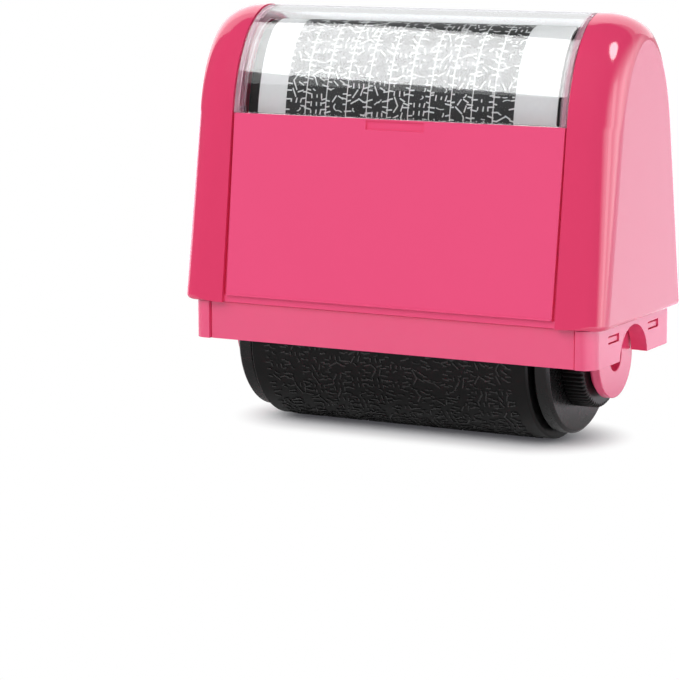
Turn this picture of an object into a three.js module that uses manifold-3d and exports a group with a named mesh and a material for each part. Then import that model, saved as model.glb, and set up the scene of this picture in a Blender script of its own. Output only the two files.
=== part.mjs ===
// A hand-held privacy roller stamp: a moulded hood that is held like a handle, a clear window over
// a label of the pattern, and under them a refillable porous roller that prints the pattern.
// Lengths are in millimetres. X runs along the roller, Y from the front panel to the rear panel
// and Z up. The origin is the point on the paper midway under the roller.
import * as THREE from "three";
import { mergeVertices } from "three/addons/utils/BufferGeometryUtils.js";
import Module from "manifold-3d";

const wasm = await Module();
wasm.setup();

// Clearances
const seatGap = 0.2; // between two pieces fixed to each other
const runGap = 0.25; // between the roller and what it turns in or beside
const paperGap = 0.12; // between the label and the carrier that it is wrapped on
const overrun = 2; // how far a cut runs past the face that it opens
const weldTolerance = 1e-5; // corners closer than this are one corner

// Driving dimensions of the hood
const hoodWidth = 70;
const hoodHeight = 44.2;
const hoodWall = 1.6;
const hoodProud = 0.85; // the hood's bottom edge outside the frame under it, front and rear
const sillRise = 28.4; // from the hood's bottom edge to the sill that the window cover stands on
const hoodLean = 3.7; // how far the front and rear lean in between the bottom edge and the sill
const panelWidth = 55.2;
const panelRecess = 0.12; // the panels' plane behind the cheeks' front
const cheekWall = 1.5; // the wall of a cheek that faces the window
const cornerReachFoot = 2.8; // how far along X the rounding of a cheek starts, at its foot
const cornerReachCrown = 6.7;
const cornerDepthFoot = 2.6; // how far the rounding draws the outline in
const cornerDepthCrown = 3.9;

// Driving dimensions of the lower frame
const skirtWidth = 66.6;
const skirtGap = 0.35; // from the roller to the inside of the frame, front and rear
const skirtLift = 0.3; // the frame's bottom edge above the roller's axis
const skirtHeight = 5.6; // the band of the frame that shows under the hood
const skirtWall = 1.2;
const skirtCorner = 2.2;
const skirtRecess = 0.35; // front and rear bands behind the corner columns
const columnWidth = 2.9;
const archRadius = 5.05;

// Driving dimensions of the roller
const rollerRadius = 13;
const printWidth = 41;
const sleeveLength = 45.8;
const flangeRadius = 11.8;
const flangeWidth = 2.2;
const flangeGroove = 0.5; // the dark groove between the sleeve and each end flange
const wheelRadius = 7.7;
const wheelWidth = 2.7; // the mean of the two thumb wheels
const rollerShift = 1; // the roller lies this far to the left, so the right thumb wheel is wider
const wheelTeeth = 44;
const journalRadius = 3;

// Driving dimensions of the side brackets
const earRadius = 6.1;
const bracketThickness = 1.3;
const bossHeight = 0.45;
const refillRadius = 2.1;

// Heights and half sizes that follow
const axleHeight = rollerRadius;
const skirtDepth = 2 * (rollerRadius + skirtGap + skirtWall);
const hoodDepth = skirtDepth + 2 * hoodProud;
const skirtBottom = axleHeight + skirtLift;
const skirtTop = skirtBottom + skirtHeight;
const hoodBottom = skirtTop + seatGap;
const sillHeight = hoodBottom + sillRise;
const crownHeight = hoodBottom + hoodHeight;
const hoodEnd = hoodWidth / 2;
const panelHalf = panelWidth / 2;
const skirtEnd = skirtWidth / 2;
const skirtFace = skirtDepth / 2;

// Along the axis: the sleeve and the flanges are measured from the roller's own middle
const sleeveEnd = sleeveLength / 2;
const flangeInside = sleeveEnd + flangeGroove;
const flangeOutside = flangeInside + flangeWidth;
const wheelOutside = flangeOutside + seatGap + wheelWidth;
const bossFace = wheelOutside + runGap;
const bracketInside = bossFace + bossHeight;
const bracketOutside = bracketInside + bracketThickness;

// Colours, roughness and metalness of each piece
const pinkPlastic = { color: 0xe94c7b, roughness: 0.28, metalness: 0 };
const blackPlastic = { color: 0x141414, roughness: 0.42, metalness: 0 };
const porousRubber = { color: 0x101010, roughness: 0.6, metalness: 0 };
const sealRubber = { color: 0x202020, roughness: 0.7, metalness: 0 };
const inkedFelt = { color: 0x1c1a22, roughness: 0.95, metalness: 0 };
const whitePaper = { color: 0xf2f2f0, roughness: 0.8, metalness: 0 };
const clearPlastic = { color: 0xe8ecec, roughness: 0.06, metalness: 0, transparent: true, opacity: 0.3 };

// Joining and cutting

function solid(geometry) {
  const bare = geometry.clone();
  bare.deleteAttribute("normal");
  bare.deleteAttribute("uv");
  const merged = mergeVertices(bare, weldTolerance);
  const mesh = new wasm.Mesh({
    numProp: 3,
    vertProperties: merged.attributes.position.array,
    triVerts: new Uint32Array(merged.index.array),
  });
  return new wasm.Manifold(mesh);
}

function joined(...solids) {
  return solids.reduce((whole, piece) => whole.add(piece));
}

function piece(name, body, finish) {
  const mesh = body.getMesh();
  const geometry = new THREE.BufferGeometry();
  geometry.setAttribute("position", new THREE.BufferAttribute(new Float32Array(mesh.vertProperties), 3));
  geometry.setIndex(new THREE.BufferAttribute(new Uint32Array(mesh.triVerts), 1));
  geometry.computeVertexNormals();
  const made = new THREE.Mesh(geometry, new THREE.MeshStandardMaterial({ ...finish, flatShading: true }));
  made.name = name;
  return made;
}

// Shapes

function box(fromX, toX, fromY, toY, fromZ, toZ) {
  const block = new THREE.BoxGeometry(toX - fromX, toY - fromY, toZ - fromZ);
  return solid(block.translate((fromX + toX) / 2, (fromY + toY) / 2, (fromZ + toZ) / 2));
}

// An outline in the YZ plane, carried along X.
function prismAlongX(outline, fromX, toX) {
  const shape = new THREE.Shape(outline.map(([y, z]) => new THREE.Vector2(y, z)));
  const run = new THREE.ExtrudeGeometry(shape, { depth: toX - fromX, bevelEnabled: false });
  const yAxis = new THREE.Vector3(0, 1, 0);
  const zAxis = new THREE.Vector3(0, 0, 1);
  const xAxis = new THREE.Vector3(1, 0, 0);
  run.applyMatrix4(new THREE.Matrix4().makeBasis(yAxis, zAxis, xAxis));
  return solid(run.translate(fromX, 0, 0));
}

// An outline in the XZ plane, carried along Y.
function prismAlongY(outline, fromY, toY) {
  const shape = new THREE.Shape(outline.map(([x, z]) => new THREE.Vector2(x, z)));
  const run = new THREE.ExtrudeGeometry(shape, { depth: toY - fromY, bevelEnabled: false });
  return solid(run.rotateX(Math.PI / 2).translate(0, toY, 0));
}

// A profile of [x, radius] pairs, turned about the roller's axis.
function turned(profile, steps = 40) {
  const points = profile.map(([x, radius]) => new THREE.Vector2(radius, x));
  const lathe = new THREE.LatheGeometry(points, steps);
  return solid(lathe.rotateZ(-Math.PI / 2).translate(0, 0, axleHeight));
}

function rod(radius, fromX, toX, steps = 36) {
  return turned([[fromX, 0], [fromX, radius], [toX, radius], [toX, 0]], steps);
}

function tube(radius, bore, fromX, toX, steps = 36) {
  return turned([[fromX, bore], [fromX, radius], [toX, radius], [toX, bore], [fromX, bore]], steps);
}

// Rings of the same number of points, skinned one to the next and closed by a fan at each end.
// Each ring runs anticlockwise as seen from the side that the rings advance to.
function lofted(rings) {
  const count = rings[0].length;
  const corners = rings.flat();
  const faces = [];
  for (let ring = 0; ring + 1 < rings.length; ring++) {
    for (let i = 0; i < count; i++) {
      const here = ring * count + i;
      const next = ring * count + ((i + 1) % count);
      faces.push(here, next, here + count);
      faces.push(next, next + count, here + count);
    }
  }
  for (const [ring, turn] of [[0, -1], [rings.length - 1, 1]]) {
    const centre = corners.length;
    const middle = new THREE.Vector3();
    rings[ring].forEach((point) => middle.add(point));
    corners.push(middle.divideScalar(count));
    for (let i = 0; i < count; i++) {
      const here = ring * count + i;
      const next = ring * count + ((i + 1) % count);
      faces.push(centre, turn > 0 ? here : next, turn > 0 ? next : here);
    }
  }
  const geometry = new THREE.BufferGeometry().setFromPoints(corners);
  return solid(geometry.setIndex(faces));
}

function roundedRing(halfX, halfY, radius, z, steps = 5) {
  const ring = [];
  for (let corner = 0; corner < 4; corner++) {
    const signX = corner === 0 || corner === 3 ? 1 : -1;
    const signY = corner < 2 ? 1 : -1;
    for (let i = 0; i <= steps; i++) {
      const angle = ((corner + i / steps) * Math.PI) / 2;
      const x = signX * (halfX - radius) + radius * Math.cos(angle);
      const y = signY * (halfY - radius) + radius * Math.sin(angle);
      ring.push(new THREE.Vector3(x, y, z));
    }
  }
  return ring;
}

// The hood seen from its end: straight walls that lean in, and over them a crown of elliptic arcs
// that leave the walls without a kink and meet level at the peak.

const cheekForm = { foot: hoodDepth / 2, sill: hoodDepth / 2 - hoodLean, peak: crownHeight };
const coverDrop = 0.12; // the window cover's crown below the cheeks' crown
const panelFoot = hoodDepth / 2 - panelRecess;
const panelSillHalf = panelFoot - hoodLean;
const panelForm = { foot: panelFoot, sill: panelSillHalf, peak: crownHeight - coverDrop };

function leanOf(form) {
  return (form.foot - form.sill) / (sillHeight - hoodBottom);
}

function wallHalf(form, z) {
  return form.foot - leanOf(form) * (z - hoodBottom);
}

function crownOf(form) {
  const lean = leanOf(form);
  const rise = form.peak - sillHeight;
  const below = (rise * rise) / (form.sill / lean - 2 * rise);
  const halfHeight = rise + below;
  const halfDepth = halfHeight * Math.sqrt((lean * form.sill) / below);
  return { halfDepth, halfHeight, centre: form.peak - halfHeight, start: Math.asin(below / halfHeight) };
}

// From the rear wall's base over the crown to the front wall's base.
function crownPath(form, base, steps = 9) {
  const crown = crownOf(form);
  const rear = [[wallHalf(form, base), base]];
  const first = base < sillHeight ? 0 : 1;
  for (let i = first; i < steps; i++) {
    const angle = crown.start + ((Math.PI / 2 - crown.start) * i) / steps;
    rear.push([crown.halfDepth * Math.cos(angle), crown.centre + crown.halfHeight * Math.sin(angle)]);
  }
  const front = rear.map(([y, z]) => [-y, z]).reverse();
  return [...rear, [0, form.peak], ...front];
}

function edgeNormal([fromY, fromZ], [toY, toZ]) {
  const length = Math.hypot(toY - fromY, toZ - fromZ);
  return [(toZ - fromZ) / length, (fromY - toY) / length];
}

// The outward mitre of each point of a path that runs anticlockwise.
function mitres(path) {
  return path.map((point, i) => {
    const before = path[i - 1] ?? point;
    const after = path[i + 1] ?? point;
    const [fromY, fromZ] = edgeNormal(before, before === point ? after : point);
    const [toY, toZ] = edgeNormal(after === point ? before : point, after);
    const share = 1 / (1 + fromY * toY + fromZ * toZ);
    return [(fromY + toY) * share, (fromZ + toZ) * share];
  });
}

// A path drawn in by a distance for each of its points, with its two ends kept at their height.
function drawnIn(path, distances) {
  const normals = mitres(path);
  return path.map(([y, z], i) => {
    const end = i === 0 || i === path.length - 1;
    return [y - distances[i] * normals[i][0], end ? z : z - distances[i] * normals[i][1]];
  });
}

// The band between two insets of a crown path.
function archBand(form, base, outer, inner) {
  const path = crownPath(form, base);
  const inside = drawnIn(path, path.map(() => inner));
  return [...drawnIn(path, path.map(() => outer)), ...inside.reverse()];
}

// Hood: one moulding with two rounded end cheeks and a leaning panel front and rear

const stripHeight = 1.1; // the set back strip along each panel's foot
const stripRecess = 0.55;
const grooveFoot = 0.6; // width of the groove between a panel and a cheek, which tapers upwards
const grooveSill = 0.3;
const grooveDepth = 0.7;
const notchWidth = 9.6;
const notchHeight = 1.1;
const notchDrop = 0.45; // the notch's top below the sill
const notchDepth = 0.6;
const collarRise = 15.4; // from the roller's axis to the top of the frame's collar
const collarTop = axleHeight + collarRise;
const roofRibHeight = 0.35; // the ribs on the frame's roof above its collar
const hoodRoomTop = collarTop + roofRibHeight + 2 * runGap;
const ledgeDrop = 5.2; // from the sill down to the ledges
const ledgeHeight = sillHeight - ledgeDrop;
const ledgeThickness = 1.2;
const ledgeReach = 3.8; // how far a ledge stands in from its panel's inside
const ribThickness = 1;
const ribDepth = 1.4;
const ribPitch = 16;

function cheekEnd(inset, startX, base) {
  const outline = crownPath(cheekForm, base);
  const end = hoodEnd - inset;
  const steps = 6;
  const start = drawnIn(outline, outline.map(() => inset));
  const rings = [start.map(([y, z]) => new THREE.Vector3(startX, y, z))];
  for (let step = 0; step <= steps; step++) {
    const angle = ((step / steps) * Math.PI) / 2;
    const upShares = outline.map(([, z]) => Math.max(0, (z - hoodBottom) / hoodHeight));
    const depths = upShares.map((share) => THREE.MathUtils.lerp(cornerDepthFoot, cornerDepthCrown, share));
    const drawn = drawnIn(outline, depths.map((depth) => inset + depth * (1 - Math.cos(angle))));
    rings.push(drawn.map(([y, z], i) => {
      const reach = THREE.MathUtils.lerp(cornerReachFoot, cornerReachCrown, upShares[i]);
      return new THREE.Vector3(end - reach * (1 - Math.sin(angle)), y, z);
    }));
  }
  return lofted(rings);
}

function turnedRound(body) {
  const mesh = body.getMesh();
  const geometry = new THREE.BufferGeometry();
  geometry.setAttribute("position", new THREE.BufferAttribute(new Float32Array(mesh.vertProperties), 3));
  geometry.setIndex(new THREE.BufferAttribute(new Uint32Array(mesh.triVerts), 1));
  return solid(geometry.rotateZ(Math.PI));
}

function bothEnds(body) {
  return body.add(turnedRound(body));
}

function mirroredOutline(side) {
  return [...side, ...side.map(([y, z]) => [-y, z]).reverse()];
}

const panelInner = (z) => wallHalf(panelForm, z) - hoodWall;

// Snap barbs on the frame's collar and the pockets for them in the hood.
const barbWidth = 6;
const barbHeight = 1.2;
const barbPlace = 18;
const barbDrop = 4; // from the collar's top down to the barbs
const barbLevel = collarTop - barbDrop;
const barbProud = 0.55;

function makeHood() {
  const stripTop = hoodBottom + stripHeight;
  const rearSide = [
    [panelFoot - stripRecess, hoodBottom],
    [panelFoot - stripRecess, stripTop],
    [wallHalf(panelForm, stripTop), stripTop],
    [panelSillHalf, sillHeight],
  ];
  const intoCheek = cheekWall / 2;
  const panels = prismAlongX(mirroredOutline(rearSide), -panelHalf - intoCheek, panelHalf + intoCheek);
  const cheek = cheekEnd(0, panelHalf, hoodBottom);
  const roomBase = hoodBottom - overrun;
  const cheekRoom = cheekEnd(hoodWall, panelHalf + cheekWall, roomBase);
  const middleSide = [[panelInner(roomBase), roomBase], [panelInner(sillHeight), sillHeight]];
  const aboveSill = [panelInner(sillHeight), sillHeight + overrun];
  const middleRoom = prismAlongX(mirroredOutline([...middleSide, aboveSill]), -panelHalf, panelHalf);
  const lowSide = [[panelInner(roomBase), roomBase], [panelInner(hoodRoomTop), hoodRoomTop]];
  const lowEnd = panelHalf + cheekWall + cornerReachFoot / 2;
  const lowRoom = prismAlongX(mirroredOutline(lowSide), -lowEnd, lowEnd);
  let hood = panels.add(bothEnds(cheek)).subtract(bothEnds(cheekRoom));
  hood = hood.subtract(middleRoom).subtract(lowRoom);

  // Ledges that carry the label carrier, and upright ribs under them
  const ledgeInside = panelInner(ledgeHeight) - ledgeReach;
  for (const side of [-1, 1]) {
    const wallLine = side * (panelInner(ledgeHeight) + hoodWall / 2);
    const innerLine = side * ledgeInside;
    const nearY = Math.min(wallLine, innerLine);
    const farY = Math.max(wallLine, innerLine);
    const acrossX = panelHalf + cheekWall / 2;
    hood = hood.add(box(-acrossX, acrossX, nearY, farY, ledgeHeight - ledgeThickness, ledgeHeight));
    for (const x of [-ribPitch, 0, ribPitch]) {
      const ribLine = (z, depth) => [side * (panelInner(z) - depth), z];
      const ribTop = ledgeHeight - ledgeThickness / 2;
      const corners = [
        ribLine(hoodRoomTop, -hoodWall / 2),
        ribLine(ribTop, -hoodWall / 2),
        ribLine(ribTop, ribDepth),
        ribLine(hoodRoomTop + ribDepth, ribDepth),
      ];
      const outline = side > 0 ? corners : corners.reverse();
      hood = hood.add(prismAlongX(outline, x - ribThickness / 2, x + ribThickness / 2));
    }
  }

  // Grooves that part the panels from the cheeks
  const grooveCorners = (z, width) => {
    const floor = wallHalf(panelForm, z) - grooveDepth;
    const mouth = wallHalf(panelForm, z) + overrun;
    const inner = panelHalf - width;
    return [[inner, floor], [panelHalf, floor], [panelHalf, mouth], [inner, mouth]];
  };
  const grooveRing = (z, width) => grooveCorners(z, width).map(([x, y]) => new THREE.Vector3(x, y, z));
  const groove = lofted([grooveRing(stripTop, grooveFoot), grooveRing(sillHeight, grooveSill)]);
  const frontGroove = lofted([
    grooveRing(stripTop, grooveFoot).map((corner) => corner.setY(-corner.y)).reverse(),
    grooveRing(sillHeight, grooveSill).map((corner) => corner.setY(-corner.y)).reverse(),
  ]);
  hood = hood.subtract(bothEnds(groove)).subtract(bothEnds(frontGroove));

  // Finger notch under the window's front edge
  const notchTop = sillHeight - notchDrop;
  const notchFloor = wallHalf(panelForm, notchTop) - notchDepth;
  const notchFront = panelFoot + overrun;
  const notch = [-notchWidth / 2, notchWidth / 2, -notchFront, -notchFloor, notchTop - notchHeight, notchTop];
  hood = hood.subtract(box(...notch));

  for (const side of [-1, 1]) {
    for (const x of [-barbPlace, barbPlace]) {
      const inside = side * (panelInner(barbLevel) - overrun);
      const outside = side * (panelInner(barbLevel) + barbProud + seatGap / 2);
      const halfSlot = barbWidth / 2 + seatGap;
      const low = barbLevel - seatGap;
      const high = barbLevel + barbHeight + seatGap;
      const fromY = Math.min(inside, outside);
      hood = hood.subtract(box(x - halfSlot, x + halfSlot, fromY, Math.max(inside, outside), low, high));
    }
  }
  return piece("hood_shell", hood, pinkPlastic);
}

// Window cover: a clear arched shell with a flange at each end and four clip feet

const coverThickness = 1;
const coverFlangeWidth = 0.9;
const footDrop = 2.2; // how far the clip feet reach below the sill, inside the panels
const footThickness = 0.9;

function makeCover() {
  const end = panelHalf - seatGap;
  const base = sillHeight + seatGap;
  const shell = prismAlongX(archBand(panelForm, base, 0, coverThickness), -end, end);
  const flangeDepth = labelTopGap + labelThickness + paperGap - runGap;
  const flangeBand = archBand(panelForm, base, 0, flangeDepth);
  let cover = shell;
  for (const [from, to] of [[-end, coverFlangeWidth - end], [end - coverFlangeWidth, end]]) {
    cover = cover.add(prismAlongX(flangeBand, from, to));
    const footInside = panelInner(sillHeight) - seatGap - footThickness;
    for (const side of [-1, 1]) {
      const lineA = side * footInside;
      const lineB = side * (footInside + footThickness);
      const low = sillHeight - footDrop;
      const high = base + coverThickness;
      cover = cover.add(box(from, to, Math.min(lineA, lineB), Math.max(lineA, lineB), low, high));
    }
  }
  return piece("window_cover", cover, clearPlastic);
}

// Label carrier: a black arched shell on the hood's ledges, with the printed label over it

const labelSideGap = 3; // from the cover's outside to the label at the sill
const labelTopGap = 2.2;
const labelThickness = 0.25;
const labelWidth = 49.4;
const labelDrop = 3; // how far the label runs down below the sill
const carrierWidth = 53.2;
const carrierWall = 1.2;
const lugHeight = 1.8; // the lugs that reach the hood's cheeks beside the carrier's feet
const webHeight = 1; // the webs that stiffen the carrier's inside
const labelForm = {
  foot: panelFoot - labelSideGap,
  sill: panelSillHalf - labelSideGap,
  peak: panelForm.peak - labelTopGap,
};

function makeLabel() {
  const band = archBand(labelForm, sillHeight - labelDrop, 0, labelThickness);
  return piece("label_sheet", prismAlongX(band, -labelWidth / 2, labelWidth / 2), whitePaper);
}

function makeCarrier() {
  const base = ledgeHeight + seatGap;
  const outer = labelThickness + paperGap;
  const inner = outer + carrierWall;
  const end = carrierWidth / 2;
  let carrier = prismAlongX(archBand(labelForm, base, outer, inner), -end, end);
  const lugEnd = panelHalf - seatGap;
  for (const side of [-1, 1]) {
    const lineA = side * (wallHalf(labelForm, base) - outer);
    const lineB = side * (wallHalf(labelForm, base) - inner);
    const from = Math.min(lineA, lineB);
    const to = Math.max(lineA, lineB);
    carrier = carrier.add(box(-lugEnd, lugEnd, from, to, base, base + lugHeight));
  }
  for (const x of [-ribPitch, 0, ribPitch]) {
    const band = archBand(labelForm, base + lugHeight, inner - carrierWall / 2, inner + webHeight);
    carrier = carrier.add(prismAlongX(band, x - ribThickness / 2, x + ribThickness / 2));
  }
  return piece("label_carrier", carrier, blackPlastic);
}

// Lower frame: the band under the hood, a collar that goes up inside it, and a roof over the roller

const collarWall = 0.9;
const shoulderWall = 0.6; // the step between the band and the collar, which the hood comes down on
const collarInset = 0.75; // the collar's ends behind the band's end faces
const roofThickness = 1.2;
const archRim = 0.9;
const hookWidth = 3.6;
const hookPlace = 7.3; // from the axis to the middle of a snap hook
const hookRise = 3.5; // the underside of a hook above the axis
const hookHeight = 1;
const crossbarHalf = 9.3;
const crossbarRise = 6.6; // the crossbar's underside above the axis
const railWidth = 0.9;

function makeFrame() {
  const band = lofted([
    roundedRing(skirtEnd, skirtFace, skirtCorner, skirtBottom),
    roundedRing(skirtEnd, skirtFace, skirtCorner, skirtTop),
  ]);
  const collarEnd = skirtEnd - collarInset;
  const collarFootZ = skirtTop - shoulderWall;
  const collarHalfFoot = panelInner(collarFootZ) - seatGap;
  const collarHalfTop = panelInner(collarTop) - seatGap;
  const collar = lofted([
    roundedRing(collarEnd, collarHalfFoot, skirtCorner, collarFootZ),
    roundedRing(collarEnd, collarHalfTop, skirtCorner, collarTop),
  ]);
  const roofUnder = collarTop - roofThickness;
  const roomRadius = skirtCorner - collarWall;
  const room = lofted([
    roundedRing(collarEnd - collarWall, collarHalfFoot - collarWall, roomRadius, collarFootZ - overrun),
    roundedRing(collarEnd - collarWall, collarHalfFoot - collarWall, roomRadius, collarFootZ),
    roundedRing(collarEnd - collarWall, collarHalfTop - collarWall, roomRadius, roofUnder),
  ]);
  const bandHalf = skirtFace - skirtWall;
  const bandRoom = lofted([
    roundedRing(skirtEnd - skirtWall, bandHalf, roomRadius, skirtBottom - overrun),
    roundedRing(skirtEnd - skirtWall, bandHalf, roomRadius, collarFootZ),
  ]);
  let frame = band.add(collar).subtract(room).subtract(bandRoom);

  // Bands between the corner columns, set back from them
  const bandEnd = skirtEnd - columnWidth;
  for (const side of [-1, 1]) {
    const fromY = side > 0 ? skirtFace - skirtRecess : -skirtFace - overrun;
    const toY = side > 0 ? skirtFace + overrun : skirtRecess - skirtFace;
    frame = frame.subtract(box(-bandEnd, bandEnd, fromY, toY, skirtBottom - overrun, skirtTop + overrun));
  }

  // Ribs across the top of the roof
  const ribHalf = collarHalfTop - 2 * collarWall;
  for (const x of [-ribPitch, 0, ribPitch]) {
    const top = collarTop + roofRibHeight;
    frame = frame.add(box(x - ribThickness / 2, x + ribThickness / 2, -ribHalf, ribHalf, roofUnder, top));
  }

  // Barbs that snap into the hood
  for (const side of [-1, 1]) {
    for (const x of [-barbPlace, barbPlace]) {
      const wallY = panelInner(barbLevel) + barbProud - seatGap;
      const rootY = panelInner(barbLevel) - seatGap - collarWall / 2;
      const outline = [
        [side * rootY, barbLevel],
        [side * wallY, barbLevel],
        [side * (wallY - barbProud), barbLevel + barbHeight],
        [side * rootY, barbLevel + barbHeight],
      ];
      const turnedOutline = side > 0 ? outline : outline.reverse();
      frame = frame.add(prismAlongX(turnedOutline, x - barbWidth / 2, x + barbWidth / 2));
    }
  }

  // At each end: the arch with its rim, the windows for the hooks and the rails for the bracket
  let endPieces = null;
  let endCuts = null;
  const rimFace = bracketOutside + seatGap;
  const rim = rod(archRadius + archRim, rimFace, skirtEnd - skirtWall / 2);
  const underBand = box(0, hoodEnd, -skirtFace, skirtFace, 0, skirtBottom);
  endPieces = rim.subtract(underBand);
  for (const side of [-1, 1]) {
    const lipInside = bracketInside - seatGap - railWidth;
    const railA = side * (crossbarHalf + seatGap);
    const railB = side * (crossbarHalf + seatGap + railWidth);
    const lipA = side * (crossbarHalf - railWidth);
    const wallX = skirtEnd - collarInset - collarWall / 2;
    const railFoot = axleHeight + crossbarRise;
    const railTop = roofUnder + roofThickness / 2;
    const rail = box(lipInside, wallX, Math.min(railA, railB), Math.max(railA, railB), railFoot, railTop);
    const lipFrom = Math.min(lipA, railB);
    const lip = box(lipInside, lipInside + railWidth, lipFrom, Math.max(lipA, railB), railFoot, railTop);
    endPieces = joined(endPieces, rail, lip);
    const halfSlot = hookWidth / 2 + seatGap;
    const low = axleHeight + hookRise - seatGap;
    const high = axleHeight + hookRise + hookHeight + seatGap;
    const slotX = skirtEnd - skirtWall - overrun / 2;
    const middle = side * hookPlace;
    const slot = box(slotX, skirtEnd + overrun, middle - halfSlot, middle + halfSlot, low, high);
    endCuts = endCuts ? endCuts.add(slot) : slot;
  }
  const arch = rod(archRadius, rimFace - overrun / 2, skirtEnd + overrun);
  frame = frame.add(bothEnds(endPieces)).subtract(bothEnds(endCuts.add(arch)));
  return piece("skirt_frame", frame, pinkPlastic);
}

// Side bracket: an ear with a hollow journal, hung from a crossbar by an arm, with two snap hooks

const armHalf = 3.4;
const journalLength = 5.4;
const journalLead = 0.4;
const bossInset = 0.5;

function makeBracket(name) {
  const face = [bracketInside, bracketOutside];
  const ear = rod(earRadius, ...face, 44);
  const boss = rod(earRadius - bossInset, bossFace, bracketInside + bracketThickness / 2);
  const journalTip = bracketInside - journalLength;
  const journal = turned([
    [journalTip, 0],
    [journalTip, journalRadius - journalLead],
    [journalTip + journalLead, journalRadius],
    [bracketInside + bracketThickness / 2, journalRadius],
    [bracketInside + bracketThickness / 2, 0],
  ], 28);
  const crossbarFoot = axleHeight + crossbarRise;
  const crossbarTop = collarTop - roofThickness - seatGap;
  const arm = box(...face, -armHalf, armHalf, axleHeight, crossbarFoot + bracketThickness);
  const crossbar = box(...face, -crossbarHalf, crossbarHalf, crossbarFoot, crossbarTop);
  let bracket = joined(ear, boss, journal, arm, crossbar);
  const hookFoot = axleHeight + hookRise;
  const hookTip = skirtEnd - seatGap;
  const hook = [
    [bracketInside, hookFoot],
    [hookTip, hookFoot],
    [hookTip, hookFoot + hookHeight / 2],
    [bracketOutside, hookFoot + hookHeight],
    [bracketOutside, crossbarFoot + bracketThickness],
    [bracketInside, crossbarFoot + bracketThickness],
  ];
  for (const side of [-1, 1]) {
    const middle = side * hookPlace;
    bracket = bracket.add(prismAlongY(hook, middle - hookWidth / 2, middle + hookWidth / 2));
    const ribY = side * (armHalf - ribThickness / 2);
    const ribFrom = ribY - ribThickness / 2;
    const ribX = bracketInside - bossHeight;
    const ribRoot = bracketInside + bracketThickness / 2;
    const rib = box(ribX, ribRoot, ribFrom, ribFrom + ribThickness, axleHeight + earRadius, crossbarTop);
    bracket = bracket.add(rib);
  }
  bracket = bracket.subtract(rod(refillRadius, journalTip - overrun, bracketOutside + overrun, 28));
  return piece(name, bracket, pinkPlastic);
}

// Roller: sleeve, feed layer, perforated core and felt, closed by a flange and a thumb wheel each end

const printProud = 0.25; // the printing surface above the smooth end bands
const sleeveWall = 2.8;
const sleeveBevel = 0.3;
const feedWall = 1;
const coreWall = 1.2;
const feedEndGap = 0.3;
const sleeveBore = rollerRadius - sleeveWall;
const feedRadius = sleeveBore - seatGap;
const coreRadius = feedRadius - feedWall - seatGap;
const coreBore = coreRadius - coreWall;
const feltRadius = coreBore - seatGap;
const feltBore = 3.4;
const spigotRadius = coreBore - runGap;
const spigotLength = 3;
const flangeSealPlace = flangeInside - spigotLength / 2;
const sealSection = 0.45;
const hubSealSection = 0.35;
const hubSealPlace = flangeOutside - hubSealSection - seatGap;
const wheelSpigotRadius = 4.75;
const journalBore = journalRadius + runGap;

function makeSleeve() {
  const bandRadius = rollerRadius - printProud;
  const printEnd = printWidth / 2;
  const half = [
    [printEnd, rollerRadius],
    [printEnd + printProud, bandRadius],
    [sleeveEnd - sleeveBevel, bandRadius],
    [sleeveEnd, bandRadius - sleeveBevel],
    [sleeveEnd, sleeveBore],
  ];
  const left = half.map(([x, radius]) => [-x, radius]).reverse();
  return piece("print_sleeve", turned([...left, ...half, left[0]], 56), porousRubber);
}

function makeFeedLayer() {
  const end = sleeveEnd - feedEndGap;
  return piece("feed_layer", tube(feedRadius, feedRadius - feedWall, -end, end), inkedFelt);
}

// The core's wall is pierced in staggered rows, so that ink reaches the feed layer all round.
function makeCore() {
  const end = flangeInside - seatGap;
  const rows = 5;
  const around = 6;
  const rowPitch = printWidth / rows;
  const holeRadius = 0.9;
  let core = tube(coreRadius, coreBore, -end, end, 30);
  for (let row = 0; row < rows; row++) {
    for (let i = 0; i < around; i++) {
      const hole = new THREE.CylinderGeometry(holeRadius, holeRadius, 2 * coreWall, 6);
      hole.translate(0, coreRadius - coreWall / 2, 0);
      hole.rotateX(((i + (row % 2) / 2) / around) * 2 * Math.PI);
      core = core.subtract(solid(hole.translate((row - (rows - 1) / 2) * rowPitch, 0, axleHeight)));
    }
  }
  return piece("roller_core", core, blackPlastic);
}

function makeFelt() {
  const insideFlanges = flangeInside - spigotLength - seatGap;
  const insideWheels = wheelTip() - rollerShift - runGap;
  const end = Math.min(insideFlanges, insideWheels);
  return piece("ink_felt", tube(feltRadius, feltBore, -end, end, 30), inkedFelt);
}

function makeFlange(name) {
  const edge = sleeveBevel;
  const spigotEnd = flangeInside - spigotLength;
  const sealPlace = flangeSealPlace;
  const grooveHalf = sealSection + seatGap;
  const grooveFloor = spigotRadius - 2 * sealSection - seatGap / 2;
  const bore = wheelSpigotRadius + seatGap;
  const flange = turned([
    [spigotEnd, bore],
    [spigotEnd, spigotRadius],
    [sealPlace - grooveHalf, spigotRadius],
    [sealPlace - grooveHalf, grooveFloor],
    [sealPlace + grooveHalf, grooveFloor],
    [sealPlace + grooveHalf, spigotRadius],
    [flangeInside, spigotRadius],
    [flangeInside, flangeRadius - edge],
    [flangeInside + edge, flangeRadius],
    [flangeOutside - edge, flangeRadius],
    [flangeOutside, flangeRadius - edge],
    [flangeOutside, bore],
    [spigotEnd, bore],
  ]);
  return piece(name, flange, blackPlastic);
}

// A rubber ring whose outside fills half of the gap round the spigot that carries it.
function makeSeal(name, place, carrierRadius, gap, section) {
  const ring = new THREE.TorusGeometry(carrierRadius + gap / 2 - section, section, 5, 24);
  return piece(name, solid(ring.rotateY(Math.PI / 2).translate(place, 0, axleHeight)), sealRubber);
}

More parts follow.
